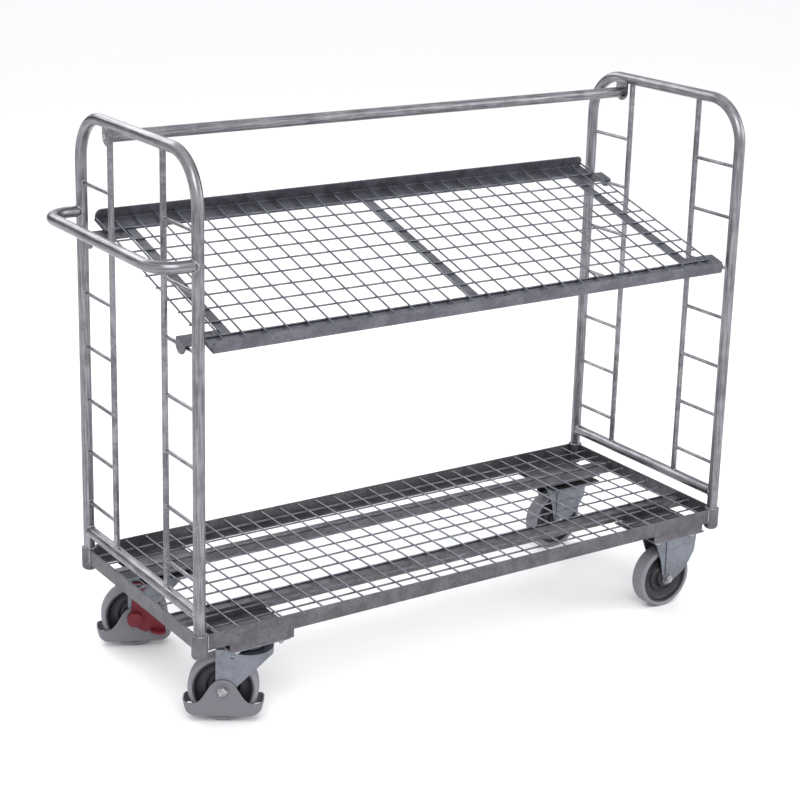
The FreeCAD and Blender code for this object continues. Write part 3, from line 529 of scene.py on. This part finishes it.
boltLook = dict(around=48, chamfer=1.1, rise=(.35, .8), cone=(.96, 1.5), tip=.8, crease=30)
threadLook = dict(pitch=1.25, depth=.62, perTurn=16, perPitch=5)


def along(points, start, direction):
    # local points (across, across, along) put at start, pointing in direction
    way = Vector(direction).normalized()
    side = way.orthogonal().normalized()
    up = way.cross(side)
    points = np.asarray(points, float)
    return (np.array(start) + points[..., 0:1] * np.array(side) + points[..., 1:2] * np.array(up)
            + points[..., 2:3] * np.array(way))


def hexBody(acrossFlats, height, domed=0.0):
    # radius = the smaller of the hexagon's edge distance and a cone that cuts the corners at both ends
    look = boltLook
    angle = np.linspace(0, 2 * np.pi, look["around"], endpoint=False)
    folded = (angle + np.pi / 6) % (np.pi / 3) - np.pi / 6
    edge = acrossFlats / 2 / np.cos(folded)
    rise = np.array([0, *look["rise"], look["chamfer"]])
    level = np.concatenate([rise, height - rise[::-1]])
    inset = np.minimum(level, height - level)
    start, steepness = look["cone"]
    cone = acrossFlats / 2 * start + inset * steepness
    radius = np.minimum(edge[None], cone[:, None])
    radius = np.concatenate([0 * radius[:1], radius, radius[-1:] * look["tip"], 0 * radius[:1]])
    level = np.concatenate([[0], level, [height + domed, height + domed]])
    points = np.stack([radius * np.cos(angle), radius * np.sin(angle),
                       np.broadcast_to(level[:, None], radius.shape)], -1)
    return points * mm, gridQuads(len(level), look["around"])


def threadBody(radius, length):
    # radius falls and rises once per pitch, the phase turning once round: a true helical thread
    look = threadLook
    angle = np.linspace(0, 2 * np.pi, look["perTurn"], endpoint=False)
    level = np.arange(0, length, look["pitch"] / look["perPitch"])
    phase = (level[:, None] / look["pitch"] - angle[None] / (2 * np.pi)) % 1
    rim = radius - look["depth"] * (1 - np.abs(2 * phase - 1))
    rim = np.concatenate([0 * rim[:1], rim, rim[-1:] * boltLook["tip"], 0 * rim[:1]])
    level = np.concatenate([[0], level, [length, length]])
    points = np.stack([rim * np.cos(angle), rim * np.sin(angle),
                       np.broadcast_to(level[:, None], rim.shape)], -1)
    return points * mm, gridQuads(len(level), look["perTurn"])


def collarBody(inner, outer, height):
    # a flat ring with eased edges, lying on its seat: its outline (height, radius) turned about its axis
    ease, around = min(.5, height / 3), 40
    profile = np.array([(0, inner), (0, outer), (height - ease, outer), (height, outer - ease),
                        (height, inner + ease), (height - ease, inner), (0, inner)]) * mm
    angle = np.linspace(0, 2 * np.pi, around, endpoint=False)
    points = np.stack([profile[:, 1:2] * np.cos(angle), profile[:, 1:2] * np.sin(angle),
                       np.repeat(profile[:, 0:1], around, 1)], -1)
    return points, gridQuads(len(profile), around)


def put(body, start, direction):
    # a turned body stood on start, pointing in direction
    points, quads = body
    return along(points, start, direction), quads


# foot guards, sizes in mm

# heights are pairs of distance from the axle and height above the floor
guardLook = dict(halfLength=86, halfWidth=30, corner=22, bottom=17, wall=3, columns=200, rows=18,
                 heights=((0, 100), (10, 99), (18, 95), (26, 86.5), (34, 73), (43, 58), (52, 48.5),
                          (60, 45.5), (68, 45), (76, 45.5), (83, 46.5), (88, 47.5)),
                 meanOver=37, taper=8, taperFrom=50, taperRun=33, endLift=9, liftFrom=62, liftRun=24,
                 rimWidth=.9, rimAngle=55, ring=(12.2, 16.5, 1.1), ringCrease=40)


def guardTop(ahead):
    # height of the rim against distance from the axle: the listed heights, rounded off by a sliding mean
    table = np.array(guardLook["heights"], float)
    fine = np.linspace(-100, 100, 801)  # every quarter of a millimetre
    rim = np.interp(np.abs(fine), table[:, 0], table[:, 1])
    window = guardLook["meanOver"]
    kernel = np.hanning(window)
    rim = np.convolve(np.pad(rim, window // 2, mode="edge"), kernel / kernel.sum(), mode="valid")
    return np.interp(ahead, fine, rim)


def footGuard(side):
    # a rounded oblong walked once round, raised from the bottom edge to the rim's height at each step;
    # low down it narrows towards the axle, and its bottom edge lifts at both ends
    look = guardLook
    halfLength, halfWidth = look["halfLength"], look["halfWidth"]
    corners = np.array([(-1, -1), (1, -1), (1, 1), (-1, 1)]) * (halfLength, halfWidth)
    outline = rounded(corners, look["corner"], 10)
    closed = np.concatenate([outline, outline[:1]])
    travelled = np.concatenate([[0], np.cumsum(np.linalg.norm(np.diff(closed, axis=0), axis=1))])
    steps = np.linspace(0, travelled[-1], look["columns"], endpoint=False)
    ahead, across = (np.interp(steps, travelled, closed[:, axis]) for axis in (0, 1))
    share = np.linspace(0, 1, look["rows"])[:, None]
    lifted = np.clip((np.abs(ahead) - look["liftFrom"]) / look["liftRun"], 0, 1)[None]
    bottom = look["bottom"] + look["endLift"] * lifted ** 2
    height = bottom + (guardTop(ahead)[None] - bottom) * share
    lowDown = np.clip((look["taperFrom"] - height) / look["taperRun"], 0, 1)
    narrow = 1 - look["taper"] / halfLength * lowDown ** 1.3
    points = np.stack([ahead[None] * narrow, np.broadcast_to(across, height.shape), height], -1)
    joint = jointOf[side + "_left_wheel_spin"]
    centre = np.array(joint["pos_m"]) * (1, 1, 0)
    placed = wheelSpace(points * mm, centre, joint["axis"])
    guard = closeUp(toMesh("moulded_" + side + "_foot_guard", placed.reshape(-1, 3),
                           gridQuads(look["rows"], look["columns"])))
    wall = guard.modifiers.new("wall", "SOLIDIFY")
    wall.thickness = look["wall"] * mm
    wall.offset = -1
    wall.use_even_offset = True
    rim = guard.modifiers.new("rim", "BEVEL")
    rim.width = look["rimWidth"] * mm
    rim.segments = 3
    rim.limit_method = "ANGLE"
    rim.angle_limit = math.radians(look["rimAngle"])
    return settle(guard, side + "_foot_guard")


def guardRing(side, outward):
    # a low moulded ring about the axle, on the guard's outer wall
    joint = jointOf[side + "_left_wheel_spin"]
    axis = np.array(joint["axis"]) * outward
    seat = np.array(joint["pos_m"]) + axis * guardLook["halfWidth"] * mm
    piece = gather(side + "_guard_ring", [put(collarBody(*guardLook["ring"]), seat, axis)])
    sharpen(piece, guardLook["ringCrease"])
    return attach(piece, side + "_swivel", plastics["guard_grey"])


# which way along its axle is outwards; the pedals stand on the inner side
outwardSides = {"front": -1, "rear": 1}
for side, outward in outwardSides.items():
    footGuard(side)
    guardRing(side, outward)
print("foot guards moulded")


# folded sheet, forks, pedals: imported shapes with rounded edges, widths in mm

edgeWidths = {
    "base_rail_front": 1.3, "base_rail_rear": 1.3, "base_rail_left": .9, "base_rail_right": .9,
    "support_channel_front": 1.2, "support_channel_rear": 1.2, "caster_mount_pads": 1.2,
    "corner_sockets": .7, "shelf_front_rail": 1.0, "shelf_rear_rail": 1.0, "shelf_straps": .6,
    "shelf_hooks": 1.2, "swivel_top_plates": .9, "fixed_forks": .9, "tie_bar_brackets": .8,
    "front_swivel_fork": .8, "rear_swivel_fork": .8, "front_brake_pedal": 1.1, "rear_brake_pedal": 1.1,
    "front_brake_shoe": .7, "rear_brake_shoe": .7, "socket_end_caps": .4,
}
for node, width in edgeWidths.items():
    softened(node, width * mm)
print("edges rounded")


# bolts and nuts, sizes in mm; a ring is (inner radius, outer radius, height), a thread (radius, length)

plateHoles = dict(x=52.5 * mm, y=40 * mm)  # from the plate's middle
casterBolt = dict(flats=13, nut=5.6, head=5.3, washer=(4, 7.6, .9), thread=3.9, short=.3)
axleLook = dict(flange=(5, 11, 2), flats=17, hexagon=6, hexAt=1.6, dome=.5, locking=(5.2, 7.4, 2.2),
                lockingAt=7.2, thread=(4.9, 4.0), threadAt=5.8, swivelReach=30, fixedReach=27)
tieBolt = dict(flats=13, head=4.1, washer=(4, 9.5, 1.2), reach=5.3)
casterMiddles = [jointOf[side + "_swivel_turn"]["pos_m"] for side in ("front", "rear")]
casterMiddles += [jointOf[side + "_right_wheel_spin"]["pos_m"] for side in ("front", "rear")]
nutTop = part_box("caster_nuts")[1].z
boltLow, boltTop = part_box("caster_bolts")[0].z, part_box("caster_bolts")[1].z
up, down = (0, 0, 1), (0, 0, -1)
nuts, bolts = [], []
for middle in casterMiddles:
    for acrossX in (-plateHoles["x"], plateHoles["x"]):
        for acrossY in (-plateHoles["y"], plateHoles["y"]):
            x, y = middle[0] + acrossX, middle[1] + acrossY
            flats, head = casterBolt["flats"], casterBolt["head"]
            threadLength = (nutTop - boltLow) / mm - casterBolt["short"]
            underWasher = nutTop - casterBolt["washer"][2] * mm
            nuts.append(put(hexBody(flats, casterBolt["nut"]), (x, y, underWasher), down))
            nuts.append(put(collarBody(*casterBolt["washer"]), (x, y, nutTop), down))
            bolts.append(put(threadBody(casterBolt["thread"], threadLength), (x, y, nutTop), down))
            bolts.append(put(hexBody(flats, head), (x, y, boltTop - head * mm), up))
settle(sharpen(gather("turned_caster_nuts", nuts), boltLook["crease"]), "caster_nuts")
settle(sharpen(gather("turned_caster_bolts", bolts), boltLook["crease"]), "caster_bolts")


def axleEnd(joint, side, reach, withNut):
    # a flanged head or a locking nut, seated reach away from the wheel's middle plane
    look = axleLook
    axis = Vector(joint["axis"]) * side
    seat = Vector(joint["pos_m"]) + axis * reach * mm
    dome = 0 if withNut else look["dome"]
    parts = [put(collarBody(*look["flange"]), seat, axis),
             put(hexBody(look["flats"], look["hexagon"], dome), seat + axis * look["hexAt"] * mm, axis)]
    if withNut:
        parts.append(put(collarBody(*look["locking"]), seat + axis * look["lockingAt"] * mm, axis))
        parts.append(put(threadBody(*look["thread"]), seat + axis * look["threadAt"] * mm, axis))
    return parts


def attachEnds(name, parts, body):
    attach(sharpen(gather(name, parts), boltLook["crease"]), body, metals["bolt_zinc"])


for side, outward in outwardSides.items():
    swivelling, fixed = jointOf[side + "_left_wheel_spin"], jointOf[side + "_right_wheel_spin"]
    nutEnd = axleEnd(swivelling, outward, axleLook["swivelReach"], True)
    attachEnds(side + "_axle_ends", nutEnd, side + "_swivel")
    reach = axleLook["fixedReach"]
    bothEnds = axleEnd(fixed, outward, reach, True) + axleEnd(fixed, -outward, reach, False)
    attachEnds(side + "_fixed_axle_ends", bothEnds, "frame")

tieEnds = []
for x, way in ((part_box("tie_bar_bolts")[0].x, 1), (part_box("tie_bar_bolts")[1].x, -1)):
    seat = Vector((x + way * tieBolt["reach"] * mm, tieY, tieZ))
    onWasher = seat - Vector((way * tieBolt["washer"][2] * mm, 0, 0))
    tieEnds.append(put(collarBody(*tieBolt["washer"]), seat, (-way, 0, 0)))
    tieEnds.append(put(hexBody(tieBolt["flats"], tieBolt["head"]), onWasher, (-way, 0, 0)))
settle(sharpen(gather("turned_tie_bar_bolts", tieEnds), boltLook["crease"]), "tie_bar_bolts")
print("bolts and nuts turned")


# welds

weldLook = dict(around=28, section=8, ripple=.16, waves=5, rung=1.5 * mm, post=1.9 * mm, tube=2.3 * mm,
                socket=1.7 * mm, rail=2 * mm, bracket=1.9 * mm, ripples=9, perRipple=5, stopShort=2 * mm)
nuggetLook = dict(tilts=5, sides=6, squash=.75, uneven=.18)
weldMetal = weldFinish("weld_zinc", weldMetalLook)
chance = np.random.default_rng(7)


def weldRing(rodRadius, seatRadius, place, rodWay, tubeWay, bead):
    # a bead round a bar where it meets a tube: it follows distance = sqrt(R^2 - (r cos a)^2) along the bar,
    # with a small circle carried round it whose size ripples; a flat seat has seatRadius 0
    look = weldLook
    rodWay, tubeWay = np.array(rodWay, float), np.array(tubeWay, float)
    side = np.cross(tubeWay, rodWay)
    angle = np.linspace(0, 2 * np.pi, look["around"], endpoint=False)[:, None, None]
    turn = np.linspace(0, 2 * np.pi, look["section"], endpoint=False)[None, :, None]
    out = side * np.cos(angle) + tubeWay * np.sin(angle)
    lift = np.sqrt(np.maximum(seatRadius ** 2 - (rodRadius * np.cos(angle)) ** 2, 0))
    wobble = np.sin(angle * look["waves"] + chance.uniform(0, 6)) + chance.uniform(-.6, .6, angle.shape)
    size = bead * (1 + look["ripple"] * wobble)
    points = (np.array(place) + rodWay * lift + out * rodRadius
              + size * (out * np.cos(turn) * .9 + rodWay * np.sin(turn) * .8))
    points = np.concatenate([points, points[:1]])
    return points.reshape(-1, 3), gridQuads(look["around"] + 1, look["section"])


def weldLine(start, end, bead):
    # a straight bead: a circle carried from start to end, swelling once per ripple, pinched at both ends
    ripples = weldLook["ripples"]
    start, end = np.array(start, float), np.array(end, float)
    way = (end - start) / np.linalg.norm(end - start)
    side = np.cross(way, (.31, .52, .8))
    side /= np.linalg.norm(side)
    other = np.cross(way, side)
    share = np.linspace(0, 1, ripples * weldLook["perRipple"] + 1)[:, None, None]
    turn = np.linspace(0, 2 * np.pi, weldLook["section"], endpoint=False)[None, :, None]
    swell = .82 + .18 * np.abs(np.sin(share * np.pi * ripples))
    pinch = np.clip(6 * np.minimum(share, 1 - share), 0, 1) ** .4
    size = bead * swell * pinch
    points = start + (end - start) * share + size * (side * np.cos(turn) + other * np.sin(turn))
    return points.reshape(-1, 3), gridQuads(len(share), weldLook["section"])


def nuggets(places, way, size):
    # flattened balls, one per place, all from one small sphere: radius * (cos, sin), squashed along way
    tilts, sides, uneven = nuggetLook["tilts"], nuggetLook["sides"], nuggetLook["uneven"]
    tilt = np.linspace(0, np.pi, tilts)[:, None]
    angle = np.linspace(0, 2 * np.pi, sides, endpoint=False)[None]
    ball = np.stack([np.sin(tilt) * np.cos(angle), np.sin(tilt) * np.sin(angle),
                     np.cos(tilt) + 0 * angle], -1)
    ball = ball * (1, 1, nuggetLook["squash"])
    quads = gridQuads(tilts, sides)
    sizes = size * (1 + chance.uniform(-uneven, uneven, len(places)))
    return [(along(ball * each, place, way), quads) for place, each in zip(places, sizes)]


rungLow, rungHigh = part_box("rungs_left")
rungRadius = (rungHigh.x - rungLow.x) / 2
rungCount = 7
rungHeights = np.linspace(rungLow.z + rungRadius, rungHigh.z - rungRadius, rungCount)
postLow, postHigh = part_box("inner_posts_left")
postRadius = (postHigh.x - postLow.x) / 2
postY = (postLow.y + postRadius, postHigh.y - postRadius)
tubeOnTube = (tubeRadius * .98, tubeRadius * 1.02)  # equal tubes, kept just apart so the bead stays round
alongY = (0, 1, 0)
rungBead, postBead, tubeBead = weldLook["rung"], weldLook["post"], weldLook["tube"]
frameWelds = []
for side, x in uprightX.items():
    for upright, post, way in ((uprightY[0], postY[0], 1), (uprightY[1], postY[1], -1)):
        inwards, outwards = (0, way, 0), (0, -way, 0)
        for z in rungHeights:
            frameWelds.append(weldRing(rungRadius, tubeRadius, (x, upright, z), inwards, up, rungBead))
            frameWelds.append(weldRing(rungRadius, postRadius, (x, post, z), outwards, up, rungBead))
        frameWelds.append(weldRing(postRadius, tubeRadius, (x, post, hoopTopZ), down, alongY, postBead))
        frameWelds.append(weldRing(postRadius, tubeRadius, (x, post, lowerZ), up, alongY, postBead))
        frameWelds.append(weldRing(*tubeOnTube, (x, upright, lowerZ), inwards, up, tubeBead))
for y in uprightY:
    frameWelds.append(weldRing(*tubeOnTube, (uprightX["left"], y, handleZ), (-1, 0, 0), up, tubeBead))
attach(gather("frame_welds", frameWelds), "frame", weldMetal)

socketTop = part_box("corner_sockets")[1].z
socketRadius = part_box("corner_sockets")[1].x - uprightX["right"]
railLow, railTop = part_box("base_rail_left")[0].z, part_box("base_rail_left")[1].z
railOut = uprightX["left"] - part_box("base_rail_left")[0].x
touch = math.sqrt(socketRadius ** 2 - railOut ** 2)  # from a socket's axis to where a rail's face meets it
socketSeam = tubeRadius + 1.6 * mm  # the bead round an upright, on its socket's top edge
baseWelds = []
for x, inX in ((uprightX["left"], 1), (uprightX["right"], -1)):
    for y, inY in ((uprightY[0], 1), (uprightY[1], -1)):
        baseWelds.append(weldRing(socketSeam, 0, (x, y, socketTop), up, alongY, weldLook["socket"]))
        for corner in ((x + inX * touch, y - inY * railOut), (x - inX * railOut, y + inY * touch)):
            start, end = (*corner, railLow + weldLook["stopShort"]), (*corner, railTop)
            baseWelds.append(weldLine(start, end, weldLook["rail"]))
attach(gather("base_welds", baseWelds), "frame", weldMetal)

bracketWall = 4 * mm
bracketWelds = []
low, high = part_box("tie_bar_brackets")
for x, thick, hoopX in ((low.x, bracketWall, uprightX["left"]), (high.x, -bracketWall, uprightX["right"])):
    for face in (x, x + thick):
        z = hoopTopZ - math.sqrt(tubeRadius ** 2 - (face - hoopX) ** 2)
        start, end = (face, low.y + weldLook["stopShort"], z), (face, high.y - weldLook["stopShort"], z)
        bracketWelds.append(weldLine(start, end, weldLook["bracket"]))
attach(gather("bracket_welds", bracketWelds), "frame", weldMetal)


meshLook = dict(longWires=10, deckCrossWires=27, shelfCrossWires=26, firstShelfCross=37.5 * mm, pitch=50 * mm,
                spot=2.7 * mm, end=3.3 * mm)
longLow, longHigh = (np.array(corner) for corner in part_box("platform_long_wires"))
crossLow, crossHigh = (np.array(corner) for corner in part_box("platform_cross_wires"))
wireRadius = (longHigh[2] - longLow[2]) / 2
longZ, crossZ = longLow[2] + wireRadius, crossLow[2] + wireRadius
longY = np.linspace(longLow[1] + wireRadius, longHigh[1] - wireRadius, meshLook["longWires"])
crossX = np.linspace(crossLow[0] + wireRadius, crossHigh[0] - wireRadius, meshLook["deckCrossWires"])
crossings = np.array([(x, y, (longZ + crossZ) / 2) for x in crossX for y in longY])
ends = [(x, y, crossZ) for x in crossX for y in (crossLow[1], crossHigh[1])]
ends += [(x, y, longZ) for y in longY for x in (longLow[0], longHigh[0])]
deckSpots = nuggets(crossings, up, meshLook["spot"]) + nuggets(np.array(ends), up, meshLook["end"])
attach(gather("deck_spot_welds", deckSpots), "frame", weldMetal)

shelfLow, shelfHigh = (np.array(corner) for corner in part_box("shelf_long_wires"))
slope = np.arctan2(*(shelfHigh - shelfLow - 2 * wireRadius)[[2, 1]])
shelfUp = np.array((0, -np.sin(slope), np.cos(slope)))
shelfLines = np.linspace(shelfLow + wireRadius, shelfHigh - wireRadius, meshLook["longWires"])[:, 1:]
barLow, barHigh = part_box("shelf_cross_wires")
innerX = barLow.x + meshLook["firstShelfCross"] + meshLook["pitch"] * np.arange(meshLook["shelfCrossWires"])
barX = [barLow.x + wireRadius, *innerX, barHigh.x - wireRadius]
spots = np.array([(x, y, z) for x in barX for y, z in shelfLines]) + shelfUp * wireRadius
attach(gather("shelf_spot_welds", nuggets(spots, shelfUp, meshLook["spot"])), "shelf", weldMetal)
print("welds laid")


# studio

studio = dict(floor=rgb(.93, .93, .935), mottle=rgb(.84, .84, .85), sky=rgb(.985, .99, 1), brightness=1.12,
              screen=rgb(.10, .10, .115), screenWay=(.559, .829, 0), aim=(0, 0, .6))
lamps = dict(keySoft=dict(place=(-2.2, -3.4, 4.2), size=(3.0, 3.0), power=150),
             fillSoft=dict(place=(3.8, -2.6, 2.6), size=(3.0, 2.4), power=60),
             backSoft=dict(place=(-.5, 4.2, 3.6), size=(4.0, 1.6), power=80))


def areaLight(name, place, size, power):
    data = bpy.data.lights.new(name, "AREA")
    data.shape = "RECTANGLE"
    data.size, data.size_y = size
    data.energy = power
    lamp = bpy.data.objects.new(name, data)
    lamp.location = place
    lamp.rotation_euler = (Vector(studio["aim"]) - Vector(place)).to_track_quat("-Z", "Y").to_euler()
    bpy.context.scene.collection.objects.link(lamp)


def studioFloor():
    span = np.array([(-1, -1, 0), (1, -1, 0), (1, 1, 0), (-1, 1, 0)]) * 30.0
    floor = toMesh("studioFloor", span, [(0, 1, 2, 3)], False)
    finish = Finish("paleFloor")
    mottle = finish.noise(finish.place(), 1.5, 3)
    finish.set(Base_Color=finish.blend(mottle * .15, studio["floor"], studio["mottle"]), Roughness=.65)
    floor.data.materials.append(finish.material)


studioFloor()
for name, lamp in lamps.items():
    areaLight(name, **lamp)


def studioSky():
    # an even white tent with a grey screen low on either side, which draws dark edges along the tubes
    world = bpy.data.worlds.new("studioWorld")
    sky = Finish("studioSky", world)
    toward = sky.add("ShaderNodeTexCoord", out="Generated")
    height = sky.add("ShaderNodeSeparateXYZ", {}, {"Vector": toward}, 2)
    ahead = sky.add("ShaderNodeVectorMath", {"operation": "DOT_PRODUCT"},
                    {0: toward, 1: studio["screenWay"]}, 1)
    band = sky.between(ahead, .30, .48) * (1 - sky.between(ahead, .90, .97))
    screen = band * (1 - sky.between(height, .30, .55))
    sky.set(Color=sky.blend(screen, studio["sky"], studio["screen"]), Strength=studio["brightness"])
    bpy.context.scene.world = world


studioSky()

cameraLook = dict(place=(-2.2744, -3.3623, 1.9125), heading=34.024, dip=16.319, roll=1.531, lens=85.03,
                  shiftY=-.0875)


def setCamera(look):
    # heading turns from +Y towards +X, dip looks down, roll tips the frame clockwise
    data = bpy.data.cameras.new("camera")
    data.lens = look["lens"]
    data.shift_y = look["shiftY"]
    camera = bpy.data.objects.new("camera", data)
    turn = (Matrix.Rotation(-math.radians(look["heading"]), 4, "Z")
            @ Matrix.Rotation(math.radians(90 - look["dip"]), 4, "X")
            @ Matrix.Rotation(math.radians(look["roll"]), 4, "Z"))
    camera.matrix_world = Matrix.Translation(look["place"]) @ turn
    bpy.context.scene.collection.objects.link(camera)
    bpy.context.scene.camera = camera


setCamera(cameraLook)
bpy.context.scene.view_settings.view_transform = "Standard"
print("studio and camera set")
